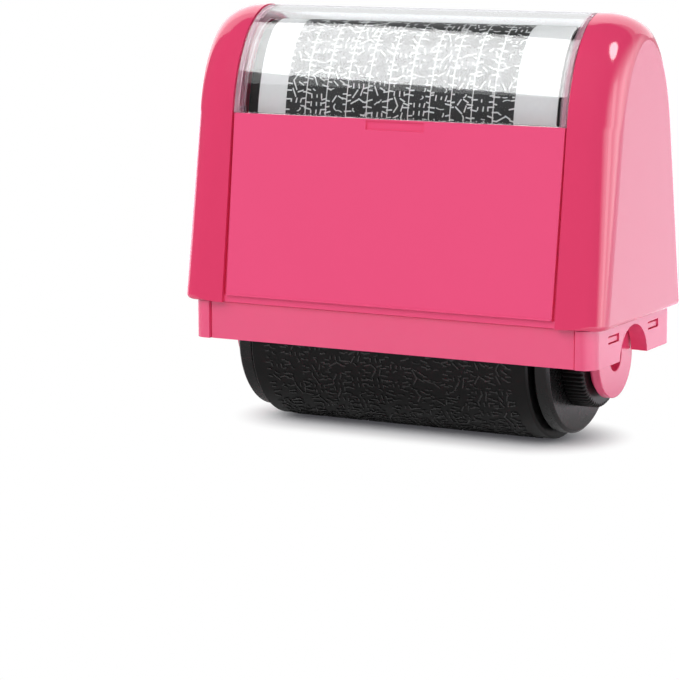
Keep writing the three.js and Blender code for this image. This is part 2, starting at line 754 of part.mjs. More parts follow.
// The thumb wheel's head has pointed axial teeth, drawn in towards its outer face, and its spigot
// runs on the bracket's hollow journal and holds the septum that the refill needle goes through.
const toothDepth = 0.5;
const toothLead = 0.45;
const septumThickness = 1.2;
const septumRadius = 3.6;
const shoulderThickness = 0.8;
const needleRadius = 1.2;

function makeThumbWheel(name, shift) {
  const wheelInside = flangeOutside + shift + seatGap;
  const sealPlace = hubSealPlace + shift;
  const headMiddle = (wheelInside + wheelOutside) / 2;
  const outline = [];
  for (let tooth = 0; tooth < wheelTeeth; tooth++) {
    for (const [part, radius] of [[0, wheelRadius - toothDepth], [1 / 2, wheelRadius]]) {
      const angle = ((tooth + part) / wheelTeeth) * 2 * Math.PI;
      outline.push([radius * Math.cos(angle), axleHeight + radius * Math.sin(angle)]);
    }
  }
  const teeth = prismAlongX(outline, wheelInside, wheelOutside);
  const envelope = turned([
    [wheelInside - overrun, 0],
    [wheelInside - overrun, wheelRadius + toothDepth],
    [wheelOutside - toothLead, wheelRadius + toothDepth / 4],
    [wheelOutside, wheelRadius - toothDepth],
    [wheelOutside, 0],
  ], 44);
  const septumFace = septumOutside() + seatGap;
  const pocketMouth = wheelTip();
  const grooveHalf = hubSealSection + seatGap;
  const grooveFloor = wheelSpigotRadius - 2 * hubSealSection - seatGap / 2;
  const body = turned([
    [pocketMouth, septumRadius + seatGap],
    [pocketMouth, wheelSpigotRadius],
    [sealPlace - grooveHalf, wheelSpigotRadius],
    [sealPlace - grooveHalf, grooveFloor],
    [sealPlace + grooveHalf, grooveFloor],
    [sealPlace + grooveHalf, wheelSpigotRadius],
    [headMiddle, wheelSpigotRadius],
    [headMiddle, journalBore],
    [septumFace + shoulderThickness, journalBore],
    [septumFace + shoulderThickness, needleRadius],
    [septumFace, needleRadius],
    [septumFace, septumRadius + seatGap],
    [pocketMouth, septumRadius + seatGap],
  ], 36);
  const headBore = rod(journalBore, septumFace + shoulderThickness, wheelOutside + overrun, 36);
  const wheel = teeth.intersect(envelope).subtract(headBore).add(body);
  return piece(name, wheel, blackPlastic);
}

function septumOutside() {
  return bracketInside - journalLength - runGap - shoulderThickness - seatGap;
}

function wheelTip() {
  return septumOutside() - septumThickness - seatGap;
}

function makeSeptum(name) {
  const outside = septumOutside();
  return piece(name, rod(septumRadius, outside - septumThickness, outside, 28), sealRubber);
}

// Assembly. The two ends carry the same mouldings, turned half round.

const stamp = new THREE.Group();
stamp.add(makeHood(), makeCover(), makeLabel(), makeCarrier(), makeFrame());

const barrel = new THREE.Group();
barrel.add(makeSleeve(), makeFeedLayer(), makeCore(), makeFelt());
barrel.position.x = -rollerShift;
stamp.add(barrel);

for (const [side, turn, shift] of [["right", 0, -rollerShift], ["left", Math.PI, rollerShift]]) {
  const end = new THREE.Group();
  end.add(makeBracket(`${side}_side_bracket`));
  end.add(makeThumbWheel(`${side}_thumb_wheel`, shift));
  end.add(makeSeptum(`${side}_refill_septum`));
  const barrelEnd = new THREE.Group();
  barrelEnd.add(makeFlange(`${side}_end_flange`));
  barrelEnd.add(makeSeal(`${side}_flange_seal`, flangeSealPlace, spigotRadius, runGap, sealSection));
  barrelEnd.add(makeSeal(`${side}_hub_seal`, hubSealPlace, wheelSpigotRadius, seatGap, hubSealSection));
  barrelEnd.position.x = shift;
  end.add(barrelEnd);
  end.rotation.z = turn;
  stamp.add(end);
}

export default stamp;
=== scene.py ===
# A hand-held privacy roller stamp: a glossy pink hood with a clear window over a label of the
# pattern, and under it a black porous roller that prints the pattern. The sections follow the
# stamp as it is put together, after the camera and the studio. Sizes are in millimetres, as on
# the maker's drawing, and are turned into metres as each mesh is made.
import bisect
import math
import random

import bmesh
import bpy
from mathutils import Matrix, Vector


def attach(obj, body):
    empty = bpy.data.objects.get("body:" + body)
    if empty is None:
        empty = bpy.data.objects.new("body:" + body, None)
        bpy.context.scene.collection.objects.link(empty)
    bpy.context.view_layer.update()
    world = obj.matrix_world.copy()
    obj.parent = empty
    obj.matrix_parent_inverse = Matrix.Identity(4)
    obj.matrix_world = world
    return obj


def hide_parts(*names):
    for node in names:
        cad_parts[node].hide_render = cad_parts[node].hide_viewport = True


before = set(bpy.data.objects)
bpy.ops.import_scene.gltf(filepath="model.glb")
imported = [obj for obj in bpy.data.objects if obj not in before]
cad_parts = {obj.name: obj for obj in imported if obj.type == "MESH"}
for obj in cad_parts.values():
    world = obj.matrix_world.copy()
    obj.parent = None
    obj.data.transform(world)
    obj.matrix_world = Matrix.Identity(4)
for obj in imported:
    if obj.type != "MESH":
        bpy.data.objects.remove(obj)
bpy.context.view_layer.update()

mm = 0.001


# The camera stands well back, in front and to the right of the stamp, and looks a little down.

camera_place = Vector((198.88, -390.85, 88.48)) * mm
camera_turn, camera_dip, camera_roll = (math.radians(angle) for angle in (28.774, 9.746, -0.301))
focal_pixels = 2932
frame_height = 680
camera = bpy.data.objects.new("camera", bpy.data.cameras.new("camera"))
bpy.context.collection.objects.link(camera)
camera.matrix_world = (
    Matrix.Translation(camera_place)
    @ Matrix.Rotation(camera_turn, 4, "Z")
    @ Matrix.Rotation(math.pi / 2 - camera_dip, 4, "X")
    @ Matrix.Rotation(camera_roll, 4, "Z")
)
camera.data.sensor_width = 36
camera.data.lens = focal_pixels * camera.data.sensor_width / frame_height
camera.data.clip_end = 20
bpy.context.scene.camera = camera
bpy.context.scene.view_settings.view_transform = "Standard"


# The studio is a pale floor that keeps the stamp's shadow, a surround that the camera sees as white
# and the glossy hood mirrors as dark in front and bright behind and beside, and soft boxes: one that
# only the window mirrors, one that all the rest does, three that only light, and two for highlights.

class Signal:
    """What leaves a shader node. Sums of signals and numbers add their own Math nodes."""

    def __init__(self, socket):
        self.socket = socket

    def combine(self, operation, other, swapped=False):
        math_node = self.socket.id_data.nodes.new("ShaderNodeMath")
        math_node.operation = operation
        for slot, term in zip(math_node.inputs, (other, self) if swapped else (self, other)):
            connect(term, slot)
        return Signal(math_node.outputs[0])

    def __add__(self, other):
        return self.combine("ADD", other)

    def __radd__(self, other):
        return self.combine("ADD", other, True)

    def __sub__(self, other):
        return self.combine("SUBTRACT", other)

    def __rsub__(self, other):
        return self.combine("SUBTRACT", other, True)

    def __mul__(self, other):
        return self.combine("MULTIPLY", other)

    def __rmul__(self, other):
        return self.combine("MULTIPLY", other, True)

    def magnitude(self):
        return self.combine("ABSOLUTE", 0.0)

    def at_most(self, other):
        return self.combine("MINIMUM", other)

    def at_least(self, other):
        return self.combine("MAXIMUM", other)


def connect(value, slot):
    if isinstance(value, Signal):
        slot.id_data.links.new(value.socket, slot)
    else:
        slot.default_value = value


class Finish:
    """The nodes of one material, or of the surround."""

    def __init__(self, owner):
        owner.use_nodes = True
        self.owner = owner
        self.tree = owner.node_tree

    def node(self, kind, settings, inputs, leaves=0):
        made = self.tree.nodes.new("ShaderNode" + kind)
        for name, value in settings.items():
            setattr(made, name, value)
        for name, value in inputs.items():
            connect(value, made.inputs[name])
        return Signal(made.outputs[leaves])

    def blend(self, share, first, second):
        return self.node("Mix", {"data_type": "RGBA"}, {0: share, 6: first, 7: second}, 2)

    def passing(self, value, start, end, top=1.0, pace="SMOOTHSTEP"):
        """Rises from nothing where the value is at the start to the top where it is at the end."""
        return self.node("MapRange", {"interpolation_type": pace}, {
            "Value": value, "From Min": start, "From Max": end, "To Max": top})

    def surface(self, shader):
        target = next(node for node in self.tree.nodes if node.type.startswith("OUTPUT"))
        connect(shader, target.inputs["Surface"])


floor_reach, floor_drop = 2500, 0.02
floor_grey = (0.93, 0.93, 0.935, 1)
floor_lift, lift_tint = 0.05, (0.97, 0.96, 1.1, 1)
shadow_half, shadow_core, shadow_reach = 18, 2, 15
rear_glow, rear_start, rear_end = 1.5, 15, 70
side_glow, side_start, side_end, side_fade = 2.1, 40, 120, 80
floor_mesh = bmesh.new()
bmesh.ops.create_circle(floor_mesh, cap_ends=True, segments=96, radius=floor_reach * mm)
floor = bpy.data.objects.new("floor", bpy.data.meshes.new("floor"))
floor_mesh.to_mesh(floor.data)
floor_mesh.free()
bpy.context.collection.objects.link(floor)
floor.location.z = -floor_drop * mm
floor_finish = Finish(bpy.data.materials.new("studio_floor"))
place = floor_finish.node("TexCoord", {}, {}, "Object")
sideways, backwards = (floor_finish.node("SeparateXYZ", {}, {"Vector": place}, axis) for axis in "XY")
past_roller = (sideways.magnitude() - shadow_half * mm).at_least(0.0)
past_shadow = floor_finish.passing(
    past_roller * past_roller + backwards * backwards, (shadow_core * mm) ** 2, (shadow_reach * mm) ** 2)
glow = floor_finish.passing(backwards, rear_start * mm, rear_end * mm, rear_glow, "LINEAR")
glow_beside = floor_finish.passing(sideways, side_start * mm, side_end * mm, side_glow, "LINEAR")
glow = glow + glow_beside * (1 - floor_finish.passing(backwards, 0.0, side_fade * mm, pace="LINEAR"))
is_camera = floor_finish.node("LightPath", {}, {}, "Is Camera Ray")
is_glossy = floor_finish.node("LightPath", {}, {}, "Is Glossy Ray")
matt = floor_finish.node("BsdfDiffuse", {}, {"Color": floor_grey})
lift = floor_finish.node("Emission", {}, {
    "Color": lift_tint, "Strength": is_camera * floor_lift + is_glossy * glow})
white = floor_finish.node("Emission", {}, {"Color": (1, 1, 1, 1), "Strength": 1.0})
lifted = floor_finish.node("AddShader", {}, {0: matt, 1: lift})
floor_finish.surface(floor_finish.node("MixShader", {}, {0: is_camera * past_shadow, 1: lifted, 2: white}))
floor.data.materials.append(floor_finish.owner)

surround_level = 0.62
front_mirrored, rear_mirrored, beside_mirrored, corner_mirrored = 0.12, 0.85, 2.15, 2.9
world = bpy.data.worlds.new("surround")
bpy.context.scene.world = world
surround = Finish(world)
surround.tree.nodes.clear()
surround.tree.nodes.new("ShaderNodeOutputWorld")
direction = surround.node("TexCoord", {}, {}, "Generated")
to_right, to_rear, height = (
    surround.node("SeparateXYZ", {}, {"Vector": direction}, axis) for axis in "XYZ")
behind = surround.passing(to_rear, 0.30, 0.38)
beside = (surround.passing(to_right, 0.35, 0.80) * surround.passing(to_rear, -0.35, 0.15)
          * (1 - surround.passing(height, 0.25, 0.60)))
cornered = (surround.passing(to_right, 0.48, 0.80) * (1 - surround.passing(to_rear, 0.10, 0.60))
            * (1 - surround.passing(height, 0.30, 0.85)))
mirrored = (front_mirrored + (rear_mirrored - front_mirrored) * behind
            + (beside_mirrored - front_mirrored) * beside + corner_mirrored * cornered)
seen_white = surround.node("LightPath", {}, {}, "Is Camera Ray")
seen_through = surround.node("LightPath", {}, {}, "Is Transmission Ray")
was_mirrored = surround.node("LightPath", {}, {}, "Glossy Depth").at_most(1.0)
lit = surround_level + was_mirrored * (mirrored - surround_level)
shown = lit + (seen_white + seen_through).at_most(1.0) * (1.0 - was_mirrored) * (1.0 - lit)
surround.surface(surround.node("Background", {}, {"Color": (1, 1, 1, 1), "Strength": shown}))

lamps_face = Vector((0, 0, 35)) * mm


def soft_box(name, azimuth, elevation, distance, size, radiance, tilt=0, mirrored_only=False,
             shape="RECTANGLE"):
    """A flat lamp that faces the stamp; azimuth is measured from the front towards the right."""
    lamp = bpy.data.objects.new(name, bpy.data.lights.new(name, "AREA"))
    bpy.context.collection.objects.link(lamp)
    lamp.data.shape = shape
    lamp.data.size, lamp.data.size_y = (side * mm for side in size)
    lamp.data.energy = radiance * math.pi * lamp.data.size * lamp.data.size_y
    turn, rise = math.radians(azimuth), math.radians(elevation)
    away = Vector((math.sin(turn) * math.cos(rise), -math.cos(turn) * math.cos(rise), math.sin(rise)))
    aim = away.to_track_quat("Z", "Y").to_matrix().to_4x4()
    stand = Matrix.Translation(lamps_face + away * distance * mm)
    lamp.matrix_world = stand @ aim @ Matrix.Rotation(math.radians(tilt), 4, "Z")
    lamp.visible_camera = False
    lamp.visible_diffuse = not mirrored_only
    return lamp


window_box = soft_box("window_box", -44, 48.2, 700, (760, 370), 6.8, tilt=-19.5, mirrored_only=True)
rear_box = soft_box("rear_box", 203, 37, 1500, (3400, 1800), 1.2, mirrored_only=True)
only_window = bpy.data.collections.new("only_window")
all_but_window = bpy.data.collections.new("all_but_window")
window_box.light_linking.receiver_collection = only_window
rear_box.light_linking.receiver_collection = all_but_window
front_box = soft_box("front_box", -20, 42, 1100, (900, 700), 2.2)
left_box = soft_box("left_box", -105, 15, 1000, (900, 640), 0.9)
side_box = soft_box("side_box", 110, 20, 1000, (900, 640), 0.55)
for lamp in (front_box, left_box, side_box):
    lamp.visible_glossy = False
soft_box("streak_box", 62, 12, 800, (170, 560), 1.2, mirrored_only=True)
soft_box("spark_box", 50, 61, 700, (190, 250), 7.5, mirrored_only=True, shape="ELLIPSE")


# The hood is one glossy pink moulding that is held like a handle. Its two end cheeks are hollow,
# with walls that lean in, an elliptic crown, and edges that round over more and more upwards.

sill_height = 47.5
hood_bottom = 19.1
panel_half = 27.6
touching = 0.01


def moved_on(mesh, grown, reach):
    """Moves what an extrusion made along, and gives its edges."""
    verts = [item for item in grown["geom"] if isinstance(item, bmesh.types.BMVert)]
    bmesh.ops.translate(mesh, verts=verts, vec=reach)
    return [item for item in grown["geom"] if isinstance(item, bmesh.types.BMEdge)]


def arch_line(mesh, foot, sill, peak, base, x=0, segments=128):
    """One line of edges over the stamp in the plane at x: wall, crown and wall."""
    lean = (foot - sill) / (sill_height - hood_bottom)
    rise = peak - sill_height
    below = rise * rise / (sill / lean - 2 * rise)
    half_height = rise + below
    half_depth = half_height * math.sqrt(lean * sill / below)
    made = bmesh.ops.create_circle(mesh, segments=segments, radius=1)["verts"]
    centre = peak - half_height
    upright = Matrix(((0, 0, 1, x), (half_depth, 0, 0, 0), (0, half_height, 0, centre), (0, 0, 0, 1)))
    bmesh.ops.transform(mesh, matrix=upright, verts=made)
    around = made + list({edge for vert in made for edge in vert.link_edges})
    bmesh.ops.bisect_plane(
        mesh, geom=around, plane_co=(x, 0, max(sill_height, base)), plane_no=(0, 0, -1), clear_outer=True)
    if base < sill_height:
        ends = [vert for vert in mesh.verts if len(vert.link_edges) == 1]
        for end in ends:
            side = math.copysign(1, end.co.y)
            foot_vert = bmesh.ops.extrude_vert_indiv(mesh, verts=[end])["verts"][0]
            foot_vert.co.y = side * (foot - lean * (base - hood_bottom))
            foot_vert.co.z = base
    return {"lean": lean, "half_depth": half_depth, "half_height": half_height, "centre": centre}


def outward(crown, y, z):
    """The direction that faces straight out of a hood wall or crown."""
    if z <= sill_height:
        return Vector((0, math.copysign(1, y), crown["lean"])).normalized()
    return Vector((0, y / crown["half_depth"] ** 2,
                   (z - crown["centre"]) / crown["half_height"] ** 2)).normalized()


def shaded_flat(piece):
    """Keeps flat faces evenly lit up to their rounded edges."""
    piece.modifiers.new("flat_faces_kept", "WEIGHTED_NORMAL").keep_sharp = True


def finished(mesh, name, body, finish, bevel=0.0, smooth_below=32, segments=3):
    """Turns a bmesh in millimetres into a piece in metres, with its small edges rounded."""
    bmesh.ops.scale(mesh, vec=(mm, mm, mm), verts=mesh.verts)
    piece = bpy.data.objects.new(name, bpy.data.meshes.new(name))
    mesh.to_mesh(piece.data)
    mesh.free()
    bpy.context.collection.objects.link(piece)
    piece.data.shade_smooth()
    piece.data.set_sharp_from_angle(angle=math.radians(smooth_below))
    if bevel:
        rounding = piece.modifiers.new("small_edges", "BEVEL")
        rounding.width = bevel * mm
        rounding.segments = segments
        rounding.limit_method = "ANGLE"
        rounding.angle_limit = math.radians(smooth_below)
        shaded_flat(piece)
    piece.data.materials.append(finish)
    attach(piece, body)
    return piece


def moulded_plastic(name, colour, deep_colour, roughness, speck, ripple, specular):
    """Moulded plastic: flow marks in the colour, fine handling marks in gloss and relief."""
    finish = Finish(bpy.data.materials.new(name))
    at = finish.node("TexCoord", {}, {}, "Object")
    flow = finish.node("TexNoise", {}, {"Vector": at, "Scale": 28.0, "Detail": 2.0, "Distortion": 1.2})
    drawn_out = finish.node("Mapping", {}, {
        "Vector": at, "Rotation": (0.3, 0.2, 0.5), "Scale": (1.0, 6.0, 14.0)})
    marks = finish.node("TexNoise", {}, {
        "Vector": drawn_out, "Scale": 420.0, "Detail": 4.0, "Roughness": 0.7})
    orange_peel = finish.node("TexNoise", {}, {"Vector": at, "Scale": 900.0, "Detail": 2.0})
    shader = finish.tree.nodes["Principled BSDF"]
    connect(finish.blend(flow, deep_colour, colour), shader.inputs["Base Color"])
    connect(roughness + speck * (marks - 0.5), shader.inputs["Roughness"])
    relief = orange_peel * 0.6 + marks * 0.4
    bump = finish.node("Bump", {}, {"Strength": ripple, "Distance": 0.04 * mm, "Height": relief})
    connect(bump, shader.inputs["Normal"])
    shader.inputs["Specular IOR Level"].default_value = specular
    return finish.owner


cheek_pink = moulded_plastic("cheek_pink", (0.82, 0.052, 0.157, 1), (0.80, 0.048, 0.149, 1),
                             roughness=0.09, speck=0.05, ripple=0.08, specular=0.8)
panel_pink = moulded_plastic("panel_pink", (0.90, 0.089, 0.230, 1), (0.88, 0.083, 0.220, 1),
                             roughness=0.30, speck=0.08, ripple=0.12, specular=0.25)
frame_pink = moulded_plastic("frame_pink", (0.89, 0.083, 0.222, 1), (0.87, 0.077, 0.212, 1),
                             roughness=0.24, speck=0.08, ripple=0.12, specular=0.8)

cheek_foot, cheek_sill, crown_peak, hood_end = 15.4, 11.7, 63.3, 35.0
rounding_reach = (2.8, 6.7)
rounding_depth = (2.6, 3.9)
rounding_steps = 16
hood_wall = 1.6
foot_rounding, foot_rounding_steps = 0.8, 5
foot_side, foot_end, foot_start = 12.2, 33.9, panel_half + 0.6
hollow_overrun = 1
doubled = 0.001


def between(ends, share):
    return ends[0] + (ends[1] - ends[0]) * share


def rounded_end(inset, start, base):
    """The solid end of the hood, or the room inside it, inset by the wall."""
    mesh = bmesh.new()
    crown = arch_line(mesh, cheek_foot - inset, cheek_sill - inset, crown_peak - inset, base)
    rim = list(mesh.edges)
    bmesh.ops.contextual_create(mesh, geom=rim)
    for step in range(rounding_steps + 2):
        rim = moved_on(mesh, bmesh.ops.extrude_edge_only(mesh, edges=rim), (1, 0, 0))
    bmesh.ops.contextual_create(mesh, geom=rim)
    for vert in mesh.verts:
        step, y, z = vert.co
        if step < 0.5:
            vert.co.x = start
            continue
        angle = (step - 1) / (rounding_steps + 1) * math.pi / 2
        up = (z - hood_bottom) / (crown_peak - hood_bottom)
        reach = between(rounding_reach, up) - inset
        depth = between(rounding_depth, up) - inset
        drawn = outward(crown, y, z) * depth * (1 - math.cos(angle))
        vert.co.x = hood_end - inset - reach * (1 - math.sin(angle))
        vert.co.y = y - drawn.y
        if z >= base + touching:
            vert.co.z = z - drawn.z
    bmesh.ops.holes_fill(mesh, edges=mesh.edges)
    return mesh


def cut_out(mesh, cutters):
    """Takes solid shapes out of a mesh with one Boolean each."""
    bmesh.ops.recalc_face_normals(mesh, faces=mesh.faces)
    body = bpy.data.objects.new("uncut", bpy.data.meshes.new("uncut"))
    mesh.to_mesh(body.data)
    bpy.context.collection.objects.link(body)
    tools = []
    for cutter in cutters:
        bmesh.ops.recalc_face_normals(cutter, faces=cutter.faces)
        tool = bpy.data.objects.new("cutter", bpy.data.meshes.new("cutter"))
        cutter.to_mesh(tool.data)
        cutter.free()
        bpy.context.collection.objects.link(tool)
        taken = body.modifiers.new("taken_out", "BOOLEAN")
        taken.operation, taken.solver, taken.object = "DIFFERENCE", "EXACT", tool
        tools.append(tool)
    shaped = bpy.data.meshes.new_from_object(body.evaluated_get(bpy.context.evaluated_depsgraph_get()))
    mesh.clear()
    mesh.from_mesh(shaped)
    for spare in (shaped, body.data, *(tool.data for tool in tools)):
        bpy.data.meshes.remove(spare)


def under_outside(edge):
    """Whether an edge runs along the outside of a cheek's open lower end."""
    widest_x = max(abs(vert.co.x) for vert in edge.verts)
    widest_y = max(abs(vert.co.y) for vert in edge.verts)
    on_wall = any(abs(face.normal.z) < 0.5 and face.calc_center_median().z > hood_bottom
                  for face in edge.link_faces)
    return (all(abs(vert.co.z - hood_bottom) < touching for vert in edge.verts)
            and min(abs(vert.co.x) for vert in edge.verts) > foot_start
            and on_wall and (widest_y > foot_side or widest_x > foot_end))


for side, name in ((1, "right_cheek"), (-1, "left_cheek")):
    cheek = rounded_end(0, panel_half, hood_bottom)
    cut_out(cheek, [rounded_end(hood_wall, panel_half - hollow_overrun, hood_bottom - hollow_overrun)])
    if side < 0:
        bmesh.ops.scale(cheek, vec=(-1, 1, 1), verts=cheek.verts)
    lower_edges = [edge for edge in cheek.edges if under_outside(edge)]
    bmesh.ops.bevel(cheek, geom=lower_edges, offset=foot_rounding, offset_type="OFFSET",
                    segments=foot_rounding_steps, profile=0.5, affect="EDGES", material=-1)
    bmesh.ops.remove_doubles(cheek, verts=cheek.verts, dist=doubled)
    bmesh.ops.recalc_face_normals(cheek, faces=cheek.faces)
    cheek_piece = finished(cheek, name, "housing", cheek_pink, smooth_below=40)
    shaded_flat(cheek_piece)
    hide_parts("hood_shell")


# Between the cheeks stand the hood's two leaning panels. Each has a satin facing with a tapered
# groove at both sides, a strip set back along its foot, and inside a ledge that carries the label
# carrier. The front one has a shallow notch for a finger nail under the window.

panel_foot, panel_sill = 15.28, 11.58
panel_end, panel_top = panel_half + 0.1, sill_height - 0.05
facing_depth, facing_root = 0.7, 0.9
strip_top, strip_set_back = 20.2, 0.55
lip_top, lip_rise, lip_root = 20.5, 0.1, 0.4
groove_foot, groove_sill = 0.6, 0.3
ledge_top, ledge_thickness, ledge_reach = 42.3, 1.2, 3.8
notch_half, notch_low, notch_high, notch_depth = 4.8, 45.95, 47.3, 0.4
facing_clear, facing_near = 1, 0.3


def panel_wall(z):
    return panel_foot - (panel_foot - panel_sill) * (z - hood_bottom) / (sill_height - hood_bottom)


def inner_wall(z):
    return panel_wall(z) - hood_wall


def bar(mesh, low, high):
    """A straight block between two corners."""
    low, high = Vector(low), Vector(high)
    form = Matrix.Translation((low + high) / 2) @ Matrix.Diagonal((*(high - low), 1))
    return bmesh.ops.create_cube(mesh, size=1, matrix=form)["verts"]


def prism(mesh, outline, reach):
    """A flat outline carried along a straight line."""
    face = mesh.faces.new([mesh.verts.new(point) for point in outline])
    moved_on(mesh, bmesh.ops.extrude_face_region(mesh, geom=[face]), reach)


def in_notch(face):
    """Whether a face lies in the front of the facing, inside the lines of the finger notch."""
    middle = face.calc_center_median()
    return (face.normal.y < -0.9 and abs(middle.x) < notch_half and notch_low < middle.z < notch_high
            and abs(face.verts[0].co.x) < panel_half - facing_clear
            and middle.y < facing_near - panel_wall(middle.z))


def sink_notch(panel):
    """Cuts the notch's outline into the facing and moves what is inside it back."""
    cuts = [((x, 0, 0), (1, 0, 0)) for x in (-notch_half, notch_half)]
    cuts += [((0, 0, z), (0, 0, 1)) for z in (notch_low, notch_high)]
    for point, normal in cuts:
        faces = [face for face in panel.faces if all(abs(vert.co.x) < panel_half for vert in face.verts)]
        edges = {edge for face in faces for edge in face.edges}
        verts = {vert for face in faces for vert in face.verts}
        bmesh.ops.bisect_plane(panel, geom=[*faces, *edges, *verts], plane_co=point, plane_no=normal)
    notch = [face for face in panel.faces if in_notch(face)]
    moved_on(panel, bmesh.ops.extrude_face_region(panel, geom=notch), (0, notch_depth, 0))
    bmesh.ops.delete(panel, geom=notch, context="FACES_ONLY")


for side, name in ((-1, "front_panel"), (1, "rear_panel")):
    panel = bmesh.new()
    ledge_bottom = ledge_top - ledge_thickness
    outline = [
        (panel_foot - strip_set_back, hood_bottom), (panel_foot - strip_set_back, strip_top),
        (panel_wall(strip_top) - facing_depth, strip_top), (panel_sill - facing_depth, panel_top),
        (inner_wall(sill_height), panel_top), (inner_wall(ledge_top), ledge_top),
        (inner_wall(ledge_top) - ledge_reach, ledge_top), (inner_wall(ledge_top) - ledge_reach, ledge_bottom),
        (inner_wall(ledge_bottom), ledge_bottom), (inner_wall(hood_bottom), hood_bottom)]
    prism(panel, [(-panel_end, side * y, z) for y, z in outline], (2 * panel_end, 0, 0))
    facing = bar(panel, (-1, -1, -1), (1, 1, 1))
    for vert in facing:
        across, out, up = vert.co
        z = strip_top if up < 0 else sill_height
        half = panel_half - (groove_foot if up < 0 else groove_sill)
        y = panel_wall(z) - (facing_root if out * side < 0 else 0)
        vert.co = Vector((across * half, side * y, z))
    lip = [(panel_wall(strip_top) - lip_root, strip_top), (panel_wall(strip_top) + lip_rise, strip_top),
           (panel_wall(lip_top) + lip_rise, lip_top), (panel_wall(lip_top) - lip_root, lip_top)]
    lip_half = panel_half - groove_foot
    prism(panel, [(-lip_half, side * y, z) for y, z in lip], (2 * lip_half, 0, 0))
    if side < 0:
        sink_notch(panel)
    bmesh.ops.recalc_face_normals(panel, faces=panel.faces)
    panel_piece = finished(panel, name, "housing", panel_pink, bevel=0.14)
    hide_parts("hood_shell")


# The window is a clear arched moulding, flush with the hood, with a flange at each end and four
# feet that clip inside the panels. It lifts off to change the label.

window_peak = 63.18
window_end = 27.4
window_base = 47.56
window_wall, flange_width, flange_depth = 1.0, 0.9, 2.32
foot_drop, foot_thickness, foot_play, foot_root = 2.2, 0.9, 0.2, 0.8
reflection_start, reflection_full, reflection_share = 26.35, 26.48, 0.28


def arched(mesh, form, base, profile):
    """A closed profile of (x, depth) pairs carried over the stamp; depth runs inwards."""
    crown = arch_line(mesh, *form, base)
    first = line = list(mesh.edges)
    for step in range(len(profile) - 1):
        line = moved_on(mesh, bmesh.ops.extrude_edge_only(mesh, edges=line), (1, 0, 0))
    bmesh.ops.bridge_loops(mesh, edges=first + line)
    for vert in mesh.verts:
        step, y, z = vert.co
        x, depth = profile[round(step)]
        out = outward(crown, y, z)
        if z >= base + touching:
            vert.co = Vector((x, y - out.y * depth, z - out.z * depth))
        else:
            drawn = out.y * depth / out.y ** 2 if abs(y) > 1 else out.y * depth
            vert.co = Vector((x, y - drawn, z))
    bmesh.ops.holes_fill(mesh, edges=mesh.edges)
    bmesh.ops.recalc_face_normals(mesh, faces=mesh.faces)


panel_form = (panel_foot, panel_sill, window_peak)
flange_edge = window_end - flange_width
window = bmesh.new()
arched(window, panel_form, window_base, [
    (-window_end, 0), (window_end, 0), (window_end, flange_depth), (flange_edge, flange_depth),
    (flange_edge, window_wall), (-flange_edge, window_wall), (-flange_edge, flange_depth),
    (-window_end, flange_depth)])
foot_out = panel_sill - hood_wall - foot_play
for side in (-1, 1):
    for end in (-1, 1):
        x = sorted((end * window_end, end * flange_edge))
        y = sorted((side * foot_out, side * (foot_out - foot_thickness)))
        bar(window, (x[0], y[0], sill_height - foot_drop), (x[1], y[1], window_base + foot_root))
clear = Finish(bpy.data.materials.new("clear_window"))
clear_shader = clear.tree.nodes["Principled BSDF"]
clear_at = clear.node("TexCoord", {}, {}, "Object")
drawn_out = clear.node("Mapping", {}, {"Vector": clear_at, "Scale": (1.0, 8.0, 8.0)})
drawn_marks = clear.node("TexNoise", {}, {"Vector": drawn_out, "Scale": 160.0, "Detail": 3.0})
connect(0.015 + 0.03 * drawn_marks, clear_shader.inputs["Roughness"])
clear_tint = clear.blend(drawn_marks, (0.94, 0.955, 0.96, 1), (0.965, 0.98, 0.98, 1))
connect(clear_tint, clear_shader.inputs["Base Color"])
clear_shader.inputs["Transmission Weight"].default_value = 1.0
clear_shader.inputs["IOR"].default_value = 1.5
# Near each end the clear window is partly mixed into a matt pink: a painted reflection of the pink hood seen
# in the flange.
from_middle = clear.node("SeparateXYZ", {}, {"Vector": clear_at}, "X").magnitude()
painted_reflection_share = clear.passing(from_middle, reflection_start * mm, reflection_full * mm, reflection_share)
hood_reflection_tone = clear.blend(drawn_marks, (0.92, 0.46, 0.60, 1), (0.95, 0.62, 0.72, 1))
painted_hood_reflection = clear.node("BsdfDiffuse", {}, {"Color": hood_reflection_tone})
clear.surface(clear.node("MixShader", {}, {
    0: painted_reflection_share, 1: Signal(clear_shader.outputs[0]), 2: painted_hood_reflection}))
window_piece = finished(window, "clear_window", "cover", clear.owner, bevel=0.12)
only_window.objects.link(window_piece)
all_but_window.objects.link(window_piece)
all_but_window.collection_objects[0].light_linking.link_state = "EXCLUDE"
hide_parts("window_cover")


# The label is white coated paper wrapped over the carrier; it is coloured a mid grey, painted shade for
# the shade it lies in under the window. Its black print is a masking pattern of short strokes that
# cross each other in columns that run round the stamp. None of it is a letter.

label_set_back, label_drop = 3, 2.2
label_form = (panel_foot - label_set_back, panel_sill - label_set_back, window_peak - label_drop)
label_base, label_half, label_thickness = 44.5, 24.7, 0.25
label = bmesh.new()
arched(label, label_form, label_base, [
    (-label_half, 0), (label_half, 0), (label_half, label_thickness), (-label_half, label_thickness)])
paper = Finish(bpy.data.materials.new("label_paper"))
paper_shader = paper.tree.nodes["Principled BSDF"]
paper_at = paper.node("TexCoord", {}, {}, "Object")
fibres = paper.node("TexNoise", {}, {"Vector": paper_at, "Scale": 1500.0, "Detail": 4.0})
